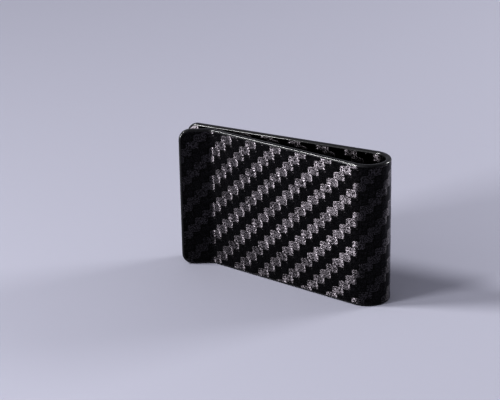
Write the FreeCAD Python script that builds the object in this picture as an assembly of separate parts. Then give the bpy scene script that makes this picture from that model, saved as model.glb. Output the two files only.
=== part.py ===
"""Money clip moulded from carbon-fibre laminate, in millimetres.

One strip of laminate is bent into a U. Looking down on it, the flat back leaf lies along X, the round
spine closes the U at +X, and the front leaf leans in until it nearly meets the back leaf. The front
leaf ends in a lip that flares outwards, so that folded notes slide in from -X.
The strip is a stack of seven layers: six carbon plies and one clear coat sprayed all over them. The
clip works by flexing at its spine, so every layer is divided where the spine meets the two leaves.
Origin: middle of the bounding box at the bottom edge. +X towards the spine, -Y out of the front, +Z up.
"""

import FreeCAD
import Part
import math
import os

# Driving dimensions
HEIGHT = 38.0            # width of the strip, standing upright
THICKNESS = 1.5          # finished laminate with its coat
SPINE_RADIUS = 6.0       # outside of the spine
LEAF_LENGTH = 46.0       # front leaf, from the spine to the crease of the lip, along its outside
PINCH_GAP = 1.0          # left between the leaves at the crease of the lip
LIP_LENGTH = 8.4         # from the crease to the tip, along its outside
LIP_FLARE = math.radians(40.0)
CREASE_RADIUS = 2.5      # hollow side of the crease
BACK_OVERHANG = 0.6      # back leaf beyond the tip of the lip
CORNER_RADIUS = 3.0      # corners of both free ends
EDGE_ROUND = 0.5         # rims of the finished laminate

# The layup from the outside of the U to its inside, as (name, thickness)
COAT_THICKNESS = 0.10
TWILL_THICKNESS = 0.25
TAPE_THICKNESS = 0.20
PLIES = [
    ("outer_twill", TWILL_THICKNESS),
    ("outer_lengthwise_tape", TAPE_THICKNESS),
    ("outer_crosswise_tape", TAPE_THICKNESS),
    ("inner_crosswise_tape", TAPE_THICKNESS),
    ("inner_lengthwise_tape", TAPE_THICKNESS),
    ("inner_twill", TWILL_THICKNESS),
]
# The trimmed edges are sanded round before coating, so the two twills end further in than the tapes.
TAPE_INSET = COAT_THICKNESS
TWILL_INSET = 0.30

# Worked out from the driving dimensions
MIDDLE_RADIUS = SPINE_RADIUS - THICKNESS / 2
INNER_RADIUS = SPINE_RADIUS - THICKNESS
CREASE_MIDDLE_RADIUS = CREASE_RADIUS + THICKNESS / 2
CREASE_TANGENT = CREASE_RADIUS * math.tan(LIP_FLARE / 2)
LEAF_STRAIGHT = LEAF_LENGTH - CREASE_TANGENT
LIP_STRAIGHT = LIP_LENGTH - CREASE_TANGENT
Z_AXIS = FreeCAD.Vector(0, 0, 1)
SAME_PLACE = 1e-4        # points nearer than this are one point


def lean_angle():
    """Angle by which the front leaf leans in, so that PINCH_GAP is left at the crease."""
    lean = 0.0
    for _ in range(20):
        drop = INNER_RADIUS * (1 + math.cos(lean)) - PINCH_GAP
        lean = math.asin(drop / LEAF_LENGTH)
    return lean


LEAN = lean_angle()


def plan(x, y):
    """Unit vector in plan."""
    return FreeCAD.Vector(x, y, 0)


# The outward normal of the back leaf, then the direction away from the spine and the outward normal of the
# front leaf and of its lip
BACK_OUT = plan(0, 1)
LEAF_ALONG = plan(-math.cos(LEAN), math.sin(LEAN))
LEAF_OUT = plan(-math.sin(LEAN), -math.cos(LEAN))
LIP_ALONG = plan(-math.cos(LIP_FLARE - LEAN), -math.sin(LIP_FLARE - LEAN))
LIP_OUT = plan(math.sin(LIP_FLARE - LEAN), -math.cos(LIP_FLARE - LEAN))
CREASE_OUT = (LEAF_OUT + LIP_OUT).normalize()

# Until SPINE_CENTRE is subtracted at the end, the centre of the spine is at x = 0, y = 0
LEAF_ROOT = LEAF_OUT * MIDDLE_RADIUS
CREASE_START = LEAF_ROOT + LEAF_ALONG * LEAF_STRAIGHT
CREASE_CENTRE = CREASE_START + LEAF_OUT * CREASE_MIDDLE_RADIUS
LIP_START = CREASE_CENTRE - LIP_OUT * CREASE_MIDDLE_RADIUS
LIP_TIP = LIP_START + LIP_ALONG * LIP_STRAIGHT
BACK_LENGTH = -min((LIP_TIP + LIP_OUT * side * THICKNESS / 2).x for side in (-1, 1)) + BACK_OVERHANG
SPINE_CENTRE = plan((BACK_LENGTH - SPINE_RADIUS) / 2, 0)


def line(a, b):
    return Part.LineSegment(a, b).toShape()


def arc(a, middle, b):
    return Part.Arc(a, middle, b).toShape()


def upright(edges, inset):
    """Solid that stands on a closed outline, from inset above the bottom to inset below the top."""
    face = Part.Face(Part.Wire(edges))
    face.translate(Z_AXIS * inset)
    return face.extrude(Z_AXIS * (HEIGHT - 2 * inset))


def round_corners(solid, tip, across, inset):
    """Rounds the two corners of the free end at the point tip. across points through the laminate."""
    along = across.cross(Z_AXIS)

    def is_corner(edge):
        ends = [v.Point for v in edge.Vertexes]
        run = ends[-1] - ends[0]
        is_across = run.Length > SAME_PLACE > run.cross(across).Length
        return is_across and abs((edge.CenterOfMass - tip).dot(along)) < SAME_PLACE

    return solid.makeFillet(CORNER_RADIUS - inset, [e for e in solid.Edges if is_corner(e)])


def front_leaf(out, inner, inset):
    """Front leaf with its crease and lip, between two offsets from the middle of the laminate."""
    tip = LIP_TIP - LIP_ALONG * inset

    def at(point, normal, offset):
        return point + normal * offset

    def crease(offset):
        return CREASE_CENTRE - CREASE_OUT * (CREASE_MIDDLE_RADIUS - offset)

    edges = [
        line(at(LEAF_ROOT, LEAF_OUT, out), at(CREASE_START, LEAF_OUT, out)),
        arc(at(CREASE_START, LEAF_OUT, out), crease(out), at(LIP_START, LIP_OUT, out)),
        line(at(LIP_START, LIP_OUT, out), at(tip, LIP_OUT, out)),
        line(at(tip, LIP_OUT, out), at(tip, LIP_OUT, inner)),
        line(at(tip, LIP_OUT, inner), at(LIP_START, LIP_OUT, inner)),
        arc(at(LIP_START, LIP_OUT, inner), crease(inner), at(CREASE_START, LEAF_OUT, inner)),
        line(at(CREASE_START, LEAF_OUT, inner), at(LEAF_ROOT, LEAF_OUT, inner)),
        line(at(LEAF_ROOT, LEAF_OUT, inner), at(LEAF_ROOT, LEAF_OUT, out)),
    ]
    return round_corners(upright(edges, inset), tip, LIP_OUT, inset)


def spine(out, inner, inset):
    """Round spine, from the back leaf to the front leaf, between two offsets."""
    middle = plan(math.cos(LEAN / 2), -math.sin(LEAN / 2))
    radius_out, radius_in = MIDDLE_RADIUS + out, MIDDLE_RADIUS + inner
    edges = [
        arc(BACK_OUT * radius_out, middle * radius_out, LEAF_OUT * radius_out),
        line(LEAF_OUT * radius_out, LEAF_OUT * radius_in),
        arc(LEAF_OUT * radius_in, middle * radius_in, BACK_OUT * radius_in),
        line(BACK_OUT * radius_in, BACK_OUT * radius_out),
    ]
    return upright(edges, inset)


def back_leaf(out, inner, inset):
    """Flat back leaf, between two offsets."""
    tip = plan(inset - BACK_LENGTH, MIDDLE_RADIUS)
    root = plan(0, MIDDLE_RADIUS)
    edges = [
        line(root + BACK_OUT * out, tip + BACK_OUT * out),
        line(tip + BACK_OUT * out, tip + BACK_OUT * inner),
        line(tip + BACK_OUT * inner, root + BACK_OUT * inner),
        line(root + BACK_OUT * inner, root + BACK_OUT * out),
    ]
    return round_corners(upright(edges, inset), tip, BACK_OUT, inset)


def middle_of(face):
    u0, u1, v0, v1 = face.ParameterRange
    return (u0 + u1) / 2, (v0 + v1) / 2


def is_broad(face):
    """True for a face that is upright and wider than the laminate is thick, unlike its rims and ends."""
    is_upright = abs(face.normalAt(*middle_of(face)).z) < SAME_PLACE
    return is_upright and face.Area > THICKNESS * face.BoundBox.ZLength + SAME_PLACE


def on_a_cut(edge, cuts):
    """True if every end of the edge lies on one of the planes where the layers are divided."""
    return any(
        all(abs((v.Point - point).dot(normal)) < SAME_PLACE for v in edge.Vertexes)
        for point, normal in cuts
    )


def coat(shape_of, cuts, plies):
    """Clear coat of one zone: the finished outside with rounded rims, less the plies inside it."""
    body = shape_of(THICKNESS / 2, -THICKNESS / 2, 0.0)
    broad = [f for f in body.Faces if is_broad(f)]

    def is_rim(edge):
        beside = [f for f in broad if any(edge.isSame(e) for e in f.Edges)]
        return len(beside) == 1 and not on_a_cut(edge, cuts)

    body = body.makeFillet(EDGE_ROUND, [e for e in body.Edges if is_rim(e)])
    return body.cut(plies[0].multiFuse(plies[1:]))


ZONES = {
    "front_leaf": (front_leaf, [(LEAF_ROOT, LEAF_ALONG)]),
    "spine": (spine, [(LEAF_ROOT, LEAF_ALONG), (plan(0, 0), plan(1, 0))]),
    "back_leaf": (back_leaf, [(plan(0, 0), plan(1, 0))]),
}


def layers(zone):
    """{node name: solid} for every layer of one zone."""
    shape_of, cuts = ZONES[zone]
    made = {}
    out = THICKNESS / 2 - COAT_THICKNESS
    for name, thickness in PLIES:
        inset = TWILL_INSET if "twill" in name else TAPE_INSET
        made[f"{zone}_{name}"] = shape_of(out, out - thickness, inset)
        out -= thickness
    made[f"{zone}_clear_coat"] = coat(shape_of, cuts, list(made.values()))
    return made


def main():
    os.makedirs("parts", exist_ok=True)
    print(f"lean {math.degrees(LEAN):.3f} deg, back leaf {BACK_LENGTH:.3f}, spine at x {SPINE_CENTRE.x:.3f}")
    total = 0.0
    for zone in ZONES:
        for node, solid in layers(zone).items():
            solid.translate(SPINE_CENTRE)
            total += solid.Volume
            print(f"{node:34} {len(solid.Solids)} solid, valid {solid.isValid()}, {solid.Volume:7.2f} mm3")
            solid.exportStep(f"parts/{node}.step")
    print(f"volume of all layers {total:.1f} mm3")


main()
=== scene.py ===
"""Carbon-fibre money clip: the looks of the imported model, in metres.

The laminate bends from the lip of the front leaf, round the spine, to the tip of the back leaf. A station
is a distance along the middle of the laminate: 0 where the front leaf meets the spine, negative towards
the lip and positive through the spine to the back leaf. Three closed pieces share that path.
"""

import bmesh
import bpy
import math
from mathutils import Matrix, Vector


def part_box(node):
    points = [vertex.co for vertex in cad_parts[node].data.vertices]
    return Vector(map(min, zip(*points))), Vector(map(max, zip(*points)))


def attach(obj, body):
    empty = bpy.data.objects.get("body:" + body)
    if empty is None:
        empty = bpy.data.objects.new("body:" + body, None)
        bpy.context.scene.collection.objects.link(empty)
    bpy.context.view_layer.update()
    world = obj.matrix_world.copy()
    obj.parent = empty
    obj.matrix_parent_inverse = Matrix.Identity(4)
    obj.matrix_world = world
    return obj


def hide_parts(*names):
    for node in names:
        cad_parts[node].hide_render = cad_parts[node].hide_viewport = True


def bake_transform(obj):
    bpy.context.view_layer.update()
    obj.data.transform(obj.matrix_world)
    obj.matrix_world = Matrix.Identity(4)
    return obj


MM = 0.001

# Shape of the clip, as in the CAD model
HEIGHT = 38.0 * MM
THICKNESS = 1.5 * MM
MIDDLE_RADIUS = 5.25 * MM            # spine, at the middle of the laminate
LEAF_LENGTH = 46.0 * MM              # to the crease of the lip, along its outside
LIP_LENGTH = 8.4 * MM                # from the crease, along its outside
CREASE_RADIUS = 2.5 * MM             # on the outside
LEAN = math.radians(9.930)           # front leaf towards the back leaf
FLARE = math.radians(40.0)           # lip away from the front leaf
CORNER_RADIUS = 3.0 * MM
RIM_RADIUS = 0.5 * MM                # sanded edges

# How finely the bends are divided
RIM_STEP = 10                        # degrees
CORNER_STEP = math.radians(9)
CREASE_STEP = 0.12 * MM
SPINE_STEP = 0.14 * MM
# A loop of points just beyond a bend keeps the shading of the flat face flat
BESIDE_RIM = 1.12 * RIM_RADIUS       # from the outline
BESIDE_CREASE = 0.15 * MM            # from the crease

# The 2x2 twill
TOW_ACROSS = 2.013 * MM              # pitch of the upright tows
TOW_UP = 1.946 * MM                  # pitch of the lengthwise tows
LENGTHWISE_RISE = 0.043              # slope of the lengthwise tows: the cloth was laid a little askew
UPRIGHT_LEAN = 0.010                 # and of the upright tows
WEAVE_ORIGIN = (-0.43 * MM, 31.03 * MM)    # a corner of the weave's grid: station and height
REPEAT = 4.0                         # tows in one repeat
WAVE_ACROSS, WAVE_UP = 0.05, 0.105   # how far a tow's edges stray, counted in tows
WAVE_SHIFT = 0.3                     # where along the repeat they do, counted in tows

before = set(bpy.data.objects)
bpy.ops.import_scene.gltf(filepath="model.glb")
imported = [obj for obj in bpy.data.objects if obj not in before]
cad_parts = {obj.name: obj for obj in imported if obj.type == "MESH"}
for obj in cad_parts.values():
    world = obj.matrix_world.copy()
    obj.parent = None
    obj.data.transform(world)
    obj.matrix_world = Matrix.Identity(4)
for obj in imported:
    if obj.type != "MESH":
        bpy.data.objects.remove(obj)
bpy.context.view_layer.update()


# ---------------------------------------------------------------- the path of the laminate

CREASE_MIDDLE = CREASE_RADIUS + THICKNESS / 2
CREASE_TANGENT = CREASE_RADIUS * math.tan(FLARE / 2)
SPINE_ANGLE = math.pi + LEAN
SPINE_END = MIDDLE_RADIUS * SPINE_ANGLE
CREASE_START = CREASE_TANGENT - LEAF_LENGTH
CREASE_END = CREASE_START - CREASE_MIDDLE * FLARE
LIP_END = CREASE_END - (LIP_LENGTH - CREASE_TANGENT)


def plan(angle):
    """Unit vector in plan, at an angle from +X towards +Y."""
    return Vector((math.cos(angle), math.sin(angle), 0))


def spine_centre():
    """Centre of the spine's bend, found from the box of its coat."""
    _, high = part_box("spine_clear_coat")
    return Vector((high.x - MIDDLE_RADIUS - THICKNESS / 2, high.y - MIDDLE_RADIUS - THICKNESS / 2, 0))


SPINE_CENTRE = spine_centre()
BACK_END = SPINE_END + SPINE_CENTRE.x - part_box("back_leaf_clear_coat")[0].x
FRONT_OUT = -math.pi / 2 - LEAN      # direction of the front leaf's outward normal


def path(station):
    """(point in plan, angle of the outward normal, angle turned through) at a station."""
    if station > SPINE_END:
        root = SPINE_CENTRE + plan(math.pi / 2) * MIDDLE_RADIUS
        return root - Vector((station - SPINE_END, 0, 0)), math.pi / 2, SPINE_ANGLE
    if station >= 0:
        turned = station / MIDDLE_RADIUS
        return SPINE_CENTRE + plan(FRONT_OUT + turned) * MIDDLE_RADIUS, FRONT_OUT + turned, turned
    root = SPINE_CENTRE + plan(FRONT_OUT) * MIDDLE_RADIUS
    along = plan(FRONT_OUT - math.pi / 2)
    if station >= CREASE_START:
        return root - along * station, FRONT_OUT, 0.0
    centre = root - along * CREASE_START + plan(FRONT_OUT) * CREASE_MIDDLE
    turned = min((CREASE_START - station) / CREASE_MIDDLE, FLARE)
    normal = FRONT_OUT + turned
    point = centre - plan(normal) * CREASE_MIDDLE
    if station < CREASE_END:
        point += plan(normal - math.pi / 2) * (CREASE_END - station)
    return point, normal, turned


def place(station, height, depth):
    """A point of the laminate. depth is its distance from the middle, positive on the outside."""
    point, normal, _ = path(station)
    return point + plan(normal) * depth + Vector((0, 0, height))


def surface_length(station, depth):
    """The station as measured along the surface at a depth, so that the weave doesn't stretch."""
    return station + depth * path(station)[2]


def weave_grid(length, height):
    """Position in the weave, counted in tows, of a point of the surface."""
    x, z = length - WEAVE_ORIGIN[0], height - WEAVE_ORIGIN[1]
    return (x - UPRIGHT_LEAN * z) / TOW_ACROSS, (z - LENGTHWISE_RISE * x) / TOW_UP


# ---------------------------------------------------------------- meshes

BROAD, RIM, CUT = range(3)           # kinds of face: a broad side, the sanded rim, and where pieces meet


def spread(start, end, step):
    """Evenly spaced numbers from start to end, no further apart than step."""
    count = max(1, math.ceil(abs(end - start) / step))
    return [start + (end - start) * i / count for i in range(count + 1)]


def rims():
    """(inset from the outline, depth) of each loop of a cross-section, from outside to inside."""
    flat = THICKNESS / 2 - RIM_RADIUS
    quarter = [math.radians(a) for a in spread(90, 0, RIM_STEP)]
    bend = [(RIM_RADIUS * (1 - math.cos(a)), flat + RIM_RADIUS * math.sin(a)) for a in quarter]
    outside = [(BESIDE_RIM, THICKNESS / 2)] + bend
    return outside + [(inset, -depth) for inset, depth in reversed(outside)]


def rungs(stations, end, inset):
    """(station, half height) pairs of one loop. If end isn't None, it is a free end with round corners."""
    half = HEIGHT / 2 - inset
    if end is None:
        return [(s, half) for s in stations]
    side = 1 if end > stations[0] else -1
    radius = CORNER_RADIUS - inset
    corner = end - side * CORNER_RADIUS
    found = [(s, half) for s in stations if (corner - s) * side > 0]
    for a in spread(0, math.pi / 2, CORNER_STEP):
        found.append((corner + side * radius * math.sin(a), half - radius * (1 - math.cos(a))))
    return found


def laminate(name, stations, end=None):
    """Closed piece of laminate along the stations, which start at a cut. end is its free end, if any."""
    loops = [(depth, rungs(stations, end, inset)) for inset, depth in rims()]
    points, marks = [], []
    for depth, loop in loops:
        for side in (-1, 1):
            for station, half in loop:
                height = HEIGHT / 2 + side * half
                points.append(place(station, height, depth))
                u, v = weave_grid(surface_length(station, depth), height)
                marks.append((u, v, depth / THICKNESS + 0.5))
    return build(name, points, marks, skin(len(loops), len(loops[0][1]), end is not None))


def skin(loop_count, rung_count, is_free):
    """(corners, kind) of each face over the loops, whose points run along the bottom and then the top."""
    last, tip = loop_count - 1, rung_count - 1

    def at(loop, top, i):
        return (loop * 2 + top) * rung_count + i

    def quad(a, b, i):
        """Corners between two rows of points, each given as (loop, top), from rung i to the next."""
        return at(*a, i), at(*a, i + 1), at(*b, i + 1), at(*b, i)

    faces = []
    for i in range(tip):
        for loop in (0, last):
            faces.append((quad((loop, 0), (loop, 1), i), BROAD))
    for k in range(last):
        for top in (0, 1):
            for i in range(tip):
                faces.append((quad((k, top), (k + 1, top), i), RIM))
        if is_free:
            faces.append(((at(k, 0, tip), at(k, 1, tip), at(k + 1, 1, tip), at(k + 1, 0, tip)), RIM))
    for i in [0] if is_free else [0, tip]:
        bottom = [at(k, 0, i) for k in range(loop_count)]
        top = [at(k, 1, i) for k in reversed(range(loop_count))]
        faces.append((bottom + top, CUT))
    return faces


def build(name, points, marks, faces):
    """Object with its two UV maps. marks has the place in the weave and through the plies of each point."""
    mesh = bpy.data.meshes.new(name)
    mesh.from_pydata(points, [], [corners for corners, _ in faces])
    weave = mesh.uv_layers.new(name="weave")
    plies = mesh.uv_layers.new(name="plies")
    for loop in mesh.loops:
        u, v, depth = marks[loop.vertex_index]
        weave.data[loop.index].uv = (u, v)
        plies.data[loop.index].uv = (u, depth)
    for material in (CARBON, EDGE):
        mesh.materials.append(material)
    cut_edges = set()
    for face, (_, kind) in zip(mesh.polygons, faces):
        face.material_index = 0 if kind == BROAD else 1
        face.use_smooth = kind != CUT
        if kind == CUT:
            cut_edges.update(face.edge_keys)
    for edge in mesh.edges:
        edge.use_edge_sharp = edge.key in cut_edges
    piece = bpy.data.objects.new(name, mesh)
    bpy.context.collection.objects.link(piece)
    point_outwards(mesh)
    return piece


def point_outwards(mesh):
    made = bmesh.new()
    made.from_mesh(mesh)
    bmesh.ops.recalc_face_normals(made, faces=made.faces)
    made.to_mesh(mesh)
    made.free()


# ---------------------------------------------------------------- materials

class Nodes:
    """Short names for making and linking the nodes of one material."""

    def __init__(self, name):
        self.material = bpy.data.materials.new(name)
        self.material.use_nodes = True
        self.tree = self.material.node_tree
        self.shader = self.tree.nodes["Principled BSDF"]

    def add(self, kind, **settings):
        node = self.tree.nodes.new(kind)
        for key, value in settings.items():
            setattr(node, key, value)
        return node

    def put(self, value, socket):
        if isinstance(value, bpy.types.NodeSocket):
            self.tree.links.new(value, socket)
        else:
            socket.default_value = value

    def fill(self, node, values):
        """The first output of a node, with values put into its first inputs."""
        for value, socket in zip(values, node.inputs):
            self.put(value, socket)
        return node.outputs[0]

    def math(self, operation, *values):
        return self.fill(self.add("ShaderNodeMath", operation=operation), values)

    def times(self, first, *others):
        for value in others:
            first = self.math("MULTIPLY", first, value)
        return first

    def plus(self, first, *others):
        for value in others:
            first = self.math("ADD", first, value)
        return first

    def mix(self, factor, a, b):
        """Number a where factor is 0 and b where it is 1."""
        node = self.add("ShaderNodeMix", data_type="FLOAT")
        for value, socket in zip((factor, a, b), (node.inputs[0], node.inputs[2], node.inputs[3])):
            self.put(value, socket)
        return node.outputs[0]

    def ramp(self, value, start, end, low, high):
        """Smooth step from low to high as value goes from start to end."""
        node = self.add("ShaderNodeMapRange", interpolation_type="SMOOTHSTEP")
        return self.fill(node, (value, start, end, low, high))

    def combine(self, x, y, z):
        return self.fill(self.add("ShaderNodeCombineXYZ"), (x, y, z))

    def split(self, vector):
        node = self.add("ShaderNodeSeparateXYZ")
        self.put(vector, node.inputs[0])
        return node.outputs

    def vector(self, operation, *values):
        return self.fill(self.add("ShaderNodeVectorMath", operation=operation), values)

    def shade(self, colour, level):
        """A plain colour at a brightness that varies."""
        node = self.add("ShaderNodeVectorMath", operation="SCALE")
        self.put(colour, node.inputs[0])
        self.put(level, node.inputs["Scale"])
        return node.outputs[0]

    def noise(self, vector, detail=2.0):
        node = self.add("ShaderNodeTexNoise")
        self.put(vector, node.inputs["Vector"])
        node.inputs["Scale"].default_value = 1.0
        node.inputs["Detail"].default_value = detail
        return node.outputs["Fac"]

    def uv(self, name):
        return self.add("ShaderNodeUVMap", uv_map=name).outputs[0]

    def object_place(self):
        return self.add("ShaderNodeTexCoord").outputs["Object"]


NOISE_RANGE = (0.3, 0.7)             # nearly all of a noise's values are between these


def lacquer(shader):
    """Polished clear coat."""
    shader.inputs["Coat Weight"].default_value = 1.0
    shader.inputs["Coat Roughness"].default_value = 0.03
    shader.inputs["Coat IOR"].default_value = 1.30


# One float of a tow. Places are -1 to 1 along it and across it, and slopes are rise over run
PRESSED_SIDE = (0.2, 1.05)           # across: from the free part to where the next float presses on it
DIVE_START = (0.62, 0.32)            # along: on the free part, and sooner on the pressed side
DIVE_RUN = (-0.08, 0.12)             # along, from there: where the slope builds up
DIVE_SLOPE = 0.09
PLUNGE_START = (0.80, 0.56)          # the steep last part of the dive
PLUNGE_RUN = (0.0, 0.25)
PLUNGE_SLOPE = 0.15
SAG_RUN = (-0.42, -0.18)             # along: the near end
SAG_SIDE = (-0.7, 0.2)               # across
SAG_SLOPE = (0.08, 0.02)             # at those two sides
CROWN_SLOPE = 0.14                   # across, at its sides
CROWN_POWER = 3.0                    # large where only the sides are rounded
OUTLINE_POWER = 4.0                  # large where its corners are square
GAP_SIDE = (-0.15, 0.05)             # along times across: from a side with a gap to a side with none
EDGE_RUN = (0.84, 1.02)              # outwards: where painted shade darkens it into the gap

# The fibres of the visible twill
STRANDS = (0.6, 11.0)                # how fast the strands vary, along and across
STRAND_DETAIL = 3.0
STRAND_SLOPE = 0.15                  # across
STRAND_LEVEL = (0.75, 1.2)           # brightness of the darkest and the brightest
SPECK_AND_GLINT = (7.0, 4.0)                 # how fast the specks of fibre and painted glints vary, along and across
SPECK_AND_GLINT_DETAIL = 1.0
SPECK_AND_GLINT_RANGE = (0.40, 0.60)         # narrow, for crisp specks and painted glints
SPECK_AND_GLINT_LEVEL = (0.1, 1.95)
TOW_LEVEL = (0.85, 1.15)             # brightness of the darkest and the brightest tow
UPRIGHT_SHADE_LEVEL = 0.28                 # painted shade: the upright tows darker than the lengthwise ones beside them, as no lamp catches their fibres
GAP_SHADE_LEVEL = 0.1                      # painted shade: brightness in the gaps
TOW_COLOUR = (0.050, 0.0465, 0.050)
TOW_ROUGHNESS, GAP_ROUGHNESS = 0.36, 0.6
ANISOTROPY = 0.9
QUARTER_TURN = 0.25                  # of the highlight, from the upright fibres to the lengthwise ones
UPRIGHT_SEED, LENGTHWISE_SEED = 0.37, -1.7    # give each tow a number of its own

# The sanded edge
EDGE_GRAIN = (3.0, 30.0)             # how fast it varies, along the laminate and through its plies
EDGE_LEVEL = (0.4, 1.4)
EDGE_COLOUR = (0.012, 0.012, 0.013)

# The plies sealed inside
LONG, FINE = 60.0, 8000.0            # strands in each metre, along the fibres and across them
ALONG_X, ALONG_Z = (LONG, FINE, FINE), (FINE, FINE, LONG)
FIBRE_LEVEL = (0.6, 1.4)
LENGTHWISE_SHEEN_LEVEL = 1.3               # painted sheen: a twill's lengthwise tows lighter beside its upright ones
FIBRE_COLOUR = (0.02, 0.02, 0.022)


def on_top(n, u, v):
    """(1 where a lengthwise tow is on top, phase 0 to 3 in the repeat). u and v are counted in tows."""
    steps = n.math("SUBTRACT", n.math("FLOOR", u), n.math("FLOOR", v))
    phase = n.math("FLOORED_MODULO", steps, REPEAT)
    return n.math("LESS_THAN", phase, 1.5), phase


def twill(n):
    """(1 where a lengthwise tow is on top, the tow's number, place along its float, place across it)."""
    u, v, _ = n.split(n.uv("weave"))
    # A tow spreads where it floats on top and is pinched where it dives, so its edges are wavy
    wave = n.math("COSINE", n.times(n.plus(u, n.times(v, -1.0), WAVE_SHIFT), 2 * math.pi / REPEAT))
    u = n.plus(u, n.times(wave, -WAVE_ACROSS))
    v = n.plus(v, n.times(wave, -WAVE_UP))
    column, row = n.math("FLOOR", u), n.math("FLOOR", v)
    in_column, in_row = n.math("FRACT", u), n.math("FRACT", v)
    lengthwise, phase = on_top(n, u, v)
    # A lengthwise float covers the columns of phases 0 and 1, an upright one the rows of phases 3 and 2
    along_row = n.plus(phase, in_column, -1.0)
    along_column = n.plus(n.times(phase, -1.0), in_row, 2.0)
    across_row = n.math("MULTIPLY_ADD", in_row, 2.0, -1.0)
    across_column = n.math("MULTIPLY_ADD", in_column, 2.0, -1.0)
    tow = n.mix(lengthwise, n.plus(column, UPRIGHT_SEED), n.times(row, LENGTHWISE_SEED))
    along = n.mix(lengthwise, along_column, along_row)
    across = n.mix(lengthwise, across_column, across_row)
    return lengthwise, tow, along, across


def float_slope(n, along, across):
    """Slope of a float along itself: it sags at its near end and dives at its far end."""
    dive_start = n.ramp(across, *PRESSED_SIDE, *DIVE_START)
    plunge_start = n.ramp(across, *PRESSED_SIDE, *PLUNGE_START)
    dive = n.ramp(n.math("SUBTRACT", along, dive_start), *DIVE_RUN, 0.0, DIVE_SLOPE)
    plunge = n.ramp(n.math("SUBTRACT", along, plunge_start), *PLUNGE_RUN, 0.0, PLUNGE_SLOPE)
    sag = n.times(n.ramp(along, *SAG_RUN, 1.0, 0.0), n.ramp(across, *SAG_SIDE, *SAG_SLOPE))
    return n.plus(dive, plunge, sag)


def float_crown(n, across):
    """Slope of a float across itself: flat in the middle and rounded off at its sides."""
    size = n.math("POWER", n.math("ABSOLUTE", across), CROWN_POWER)
    return n.times(size, n.math("SIGN", across), CROWN_SLOPE)


def float_edge(n, along, across):
    """0 on a float and 1 at its edge, where shade is painted into the gap. There is no edge where the next
    float lies against it.
    """
    far_along, far_across = n.math("ABSOLUTE", along), n.math("ABSOLUTE", across)
    powers = n.plus(n.math("POWER", far_along, OUTLINE_POWER), n.math("POWER", far_across, OUTLINE_POWER))
    outline = n.math("POWER", powers, 1 / OUTLINE_POWER)
    beside_gap = n.ramp(n.times(along, across), *GAP_SIDE, 1.0, 0.0)
    return n.ramp(n.mix(beside_gap, far_along, outline), *EDGE_RUN, 0.0, 1.0)


def float_noise(n, along, across, tow, rates, detail):
    """Noise on a float that varies at one rate along it and at another across it."""
    return n.noise(n.combine(n.times(along, rates[0]), n.times(across, rates[1]), tow), detail)


def tow_random(n, tow):
    """A number between 0 and 1 for each tow."""
    node = n.add("ShaderNodeTexWhiteNoise", noise_dimensions="1D")
    n.put(tow, node.inputs["W"])
    return node.outputs["Value"]


def fibre_normal(n, lengthwise, slope_along, slope_across):
    """Normal of the fibres, from their slopes along their float and across it."""
    x = n.mix(lengthwise, slope_across, slope_along)
    y = n.mix(lengthwise, slope_along, slope_across)
    unit = n.vector("NORMALIZE", n.combine(x, y, 1.0))
    half = (0.5, 0.5, 0.5)
    as_colour = n.vector("MULTIPLY_ADD", unit, half, half)
    normal = n.add("ShaderNodeNormalMap", uv_map="weave")
    n.put(as_colour, normal.inputs["Color"])
    return normal.outputs[0]


def carbon_weave():
    """2x2 twill of carbon tows under a clear coat. Each float's fibres shine across their own length."""
    n = Nodes("carbon_twill_lacquered")
    lengthwise, tow, along, across = twill(n)
    edge = float_edge(n, along, across)
    strand = float_noise(n, along, across, tow, STRANDS, STRAND_DETAIL)
    speck_and_glint = float_noise(n, along, across, tow, SPECK_AND_GLINT, SPECK_AND_GLINT_DETAIL)
    slope_across = n.plus(float_crown(n, across), n.ramp(strand, 0.0, 1.0, -STRAND_SLOPE, STRAND_SLOPE))
    level = n.times(
        n.ramp(strand, *NOISE_RANGE, *STRAND_LEVEL),
        n.ramp(tow_random(n, tow), 0.0, 1.0, *TOW_LEVEL),
        # random specks of fibre, the brightest of them painted glints
        n.ramp(speck_and_glint, *SPECK_AND_GLINT_RANGE, *SPECK_AND_GLINT_LEVEL),
        # painted shade in the gaps between floats
        n.mix(edge, 1.0, GAP_SHADE_LEVEL),
        # painted shade: the upright tows are darkened
        n.mix(lengthwise, UPRIGHT_SHADE_LEVEL, 1.0),
    )
    shader = n.shader
    n.put(n.shade(TOW_COLOUR, level), shader.inputs["Base Color"])
    n.put(n.mix(edge, TOW_ROUGHNESS, GAP_ROUGHNESS), shader.inputs["Roughness"])
    n.put(n.times(lengthwise, QUARTER_TURN), shader.inputs["Anisotropic Rotation"])
    tangent = n.add("ShaderNodeTangent", direction_type="UV_MAP", uv_map="weave")
    n.put(tangent.outputs[0], shader.inputs["Tangent"])
    normal = fibre_normal(n, lengthwise, float_slope(n, along, across), slope_across)
    n.put(normal, shader.inputs["Normal"])
    shader.inputs["Metallic"].default_value = 1.0
    shader.inputs["Anisotropic"].default_value = ANISOTROPY
    lacquer(shader)
    return n.material


def cut_edge():
    """Sanded edge of the laminate under the coat: the ply lines just show."""
    n = Nodes("laminate_edge_lacquered")
    along, depth, _ = n.split(n.uv("plies"))
    grain = n.noise(n.combine(n.times(along, EDGE_GRAIN[0]), n.times(depth, EDGE_GRAIN[1]), 0.0))
    level = n.ramp(grain, *NOISE_RANGE, *EDGE_LEVEL)
    n.put(n.shade(EDGE_COLOUR, level), n.shader.inputs["Base Color"])
    n.shader.inputs["Roughness"].default_value = 0.5
    n.shader.inputs["Specular IOR Level"].default_value = 0.2
    lacquer(n.shader)
    return n.material


def fibres(n, stretch):
    """Brightness of strands of fibre, as many in each metre along X, Y and Z as stretch says."""
    strands = n.vector("MULTIPLY", n.object_place(), stretch)
    return n.ramp(n.noise(strands), *NOISE_RANGE, *FIBRE_LEVEL)


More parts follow.
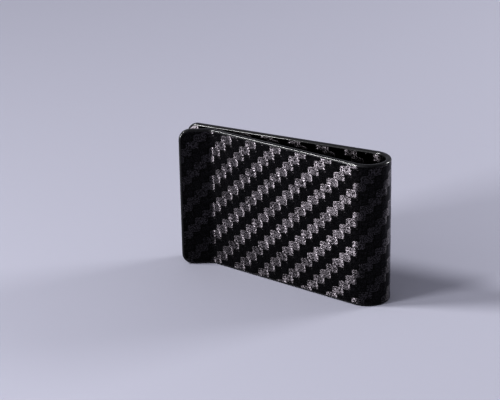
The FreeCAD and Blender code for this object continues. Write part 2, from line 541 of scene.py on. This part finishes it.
def bare_carbon(n, level):
    """Carbon fibre in resin, at a brightness that varies."""
    n.put(n.shade(FIBRE_COLOUR, level), n.shader.inputs["Base Color"])
    n.shader.inputs["Roughness"].default_value = 0.5
    return n.material


def sealed_tape(name, stretch):
    n = Nodes(name)
    return bare_carbon(n, fibres(n, stretch))


def sealed_twill():
    n = Nodes("carbon_twill_sealed")
    x, _, z = n.split(n.object_place())
    lengthwise, _ = on_top(n, n.times(x, 1 / TOW_ACROSS), n.times(z, 1 / TOW_UP))
    # painted sheen: the lengthwise tows are lighter
    lengthwise_sheen_fibres = n.times(fibres(n, ALONG_X), LENGTHWISE_SHEEN_LEVEL)
    return bare_carbon(n, n.mix(lengthwise, fibres(n, ALONG_Z), lengthwise_sheen_fibres))


CARBON = carbon_weave()
EDGE = cut_edge()
SEALED = {
    "lengthwise_tape": sealed_tape("carbon_tape_lengthwise", ALONG_X),
    "crosswise_tape": sealed_tape("carbon_tape_crosswise", ALONG_Z),
    "twill": sealed_twill(),
}


# ---------------------------------------------------------------- the clip

LAYERS = ("outer_twill", "outer_lengthwise_tape", "outer_crosswise_tape", "inner_crosswise_tape",
          "inner_lengthwise_tape", "inner_twill")


def front_leaf():
    crease = spread(CREASE_START, CREASE_END, CREASE_STEP)
    stations = [0.0, CREASE_START + BESIDE_CREASE] + crease + [CREASE_END - BESIDE_CREASE]
    piece = laminate("front_leaf_lacquered", stations, end=LIP_END)
    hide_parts("front_leaf_clear_coat")
    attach(piece, "clip_front")


def back_leaf():
    partway = SPINE_END + 20 * MM
    piece = laminate("back_leaf_lacquered", [SPINE_END, partway], end=BACK_END)
    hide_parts("back_leaf_clear_coat")
    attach(piece, "clip_back")


def spine():
    piece = laminate("spine_lacquered", spread(0.0, SPINE_END, SPINE_STEP))
    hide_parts("spine_clear_coat", *(f"spine_{layer}" for layer in LAYERS))
    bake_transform(piece)


def sealed_plies():
    """Materials of the plies inside the two leaves."""
    for zone in ("front_leaf", "back_leaf"):
        for layer in LAYERS:
            _, ply = layer.split("_", 1)
            for slot in bpy.data.objects[f"{zone}_{layer}"].material_slots:
                slot.material = SEALED[ply]


# ---------------------------------------------------------------- studio

def floor():
    bpy.ops.mesh.primitive_plane_add(size=3.0)
    plane = bpy.context.object
    plane.name = "studio_floor"
    n = Nodes("studio_floor")
    n.shader.inputs["Base Color"].default_value = (0.31, 0.31, 0.352, 1)
    n.shader.inputs["Roughness"].default_value = 0.8
    n.shader.inputs["Specular IOR Level"].default_value = 0.1
    plane.data.materials.append(n.material)


def towards(azimuth, elevation):
    """Unit vector from the clip towards a lamp. Azimuth is from -Y towards +X, in degrees."""
    a, e = math.radians(azimuth), math.radians(elevation)
    return Vector((math.sin(a) * math.cos(e), -math.cos(a) * math.cos(e), math.sin(e)))


def hang(name, light, away, distance):
    """Lamp that faces the middle of the clip."""
    lamp = bpy.data.objects.new(name, light)
    lamp.location = Vector((0, 0, HEIGHT / 2)) + away * distance
    lamp.rotation_euler = away.to_track_quat("Z", "Y").to_euler()
    bpy.context.collection.objects.link(lamp)


def softbox(name, azimuth, elevation, distance, width, height, power):
    light = bpy.data.lights.new(name, "AREA")
    light.shape = "RECTANGLE"
    light.size, light.size_y = width, height
    light.energy = power
    hang(name, light, towards(azimuth, elevation), distance)


def window(name, azimuth, elevation, distance, spread_angle, strength):
    """Large light far away, which lights the whole floor evenly."""
    light = bpy.data.lights.new(name, "SUN")
    light.angle = math.radians(spread_angle)
    light.energy = strength
    hang(name, light, towards(azimuth, elevation), distance)


def surroundings():
    """Pale room that the coat reflects."""
    world = bpy.data.worlds.new("studio")
    bpy.context.scene.world = world
    world.use_nodes = True
    background = world.node_tree.nodes["Background"]
    background.inputs["Color"].default_value = (0.80, 0.80, 0.88, 1)
    background.inputs["Strength"].default_value = 0.35


def studio():
    floor()
    softbox("key", azimuth=-34.5, elevation=12, distance=0.6, width=0.15, height=0.20, power=4.2)
    softbox("fill", azimuth=-20, elevation=50, distance=0.9, width=0.6, height=0.6, power=0.5)
    softbox("back", azimuth=140, elevation=18, distance=0.7, width=0.25, height=0.25, power=2.6)
    window("window", azimuth=-64, elevation=45, distance=2.0, spread_angle=14, strength=1.8)
    surroundings()
    bpy.context.scene.view_settings.view_transform = "Standard"
    bpy.context.scene.view_settings.look = "Very High Contrast"


def camera():
    position = Vector((204.63, -385.67, 188.65)) * MM
    target = Vector((-6.79, -4.43, 22.96)) * MM
    roll = math.radians(-1.08)
    data = bpy.data.cameras.new("camera")
    data.lens = 130.1
    data.sensor_width = 36.0
    data.clip_start, data.clip_end = 0.01, 10.0
    eye = bpy.data.objects.new("camera", data)
    turn = (target - position).to_track_quat("-Z", "Y").to_matrix()
    eye.location = position
    eye.rotation_euler = (turn @ Matrix.Rotation(roll, 3, "Z")).to_euler()
    bpy.context.collection.objects.link(eye)
    bpy.context.scene.camera = eye


front_leaf()
spine()
back_leaf()
sealed_plies()
studio()
camera()
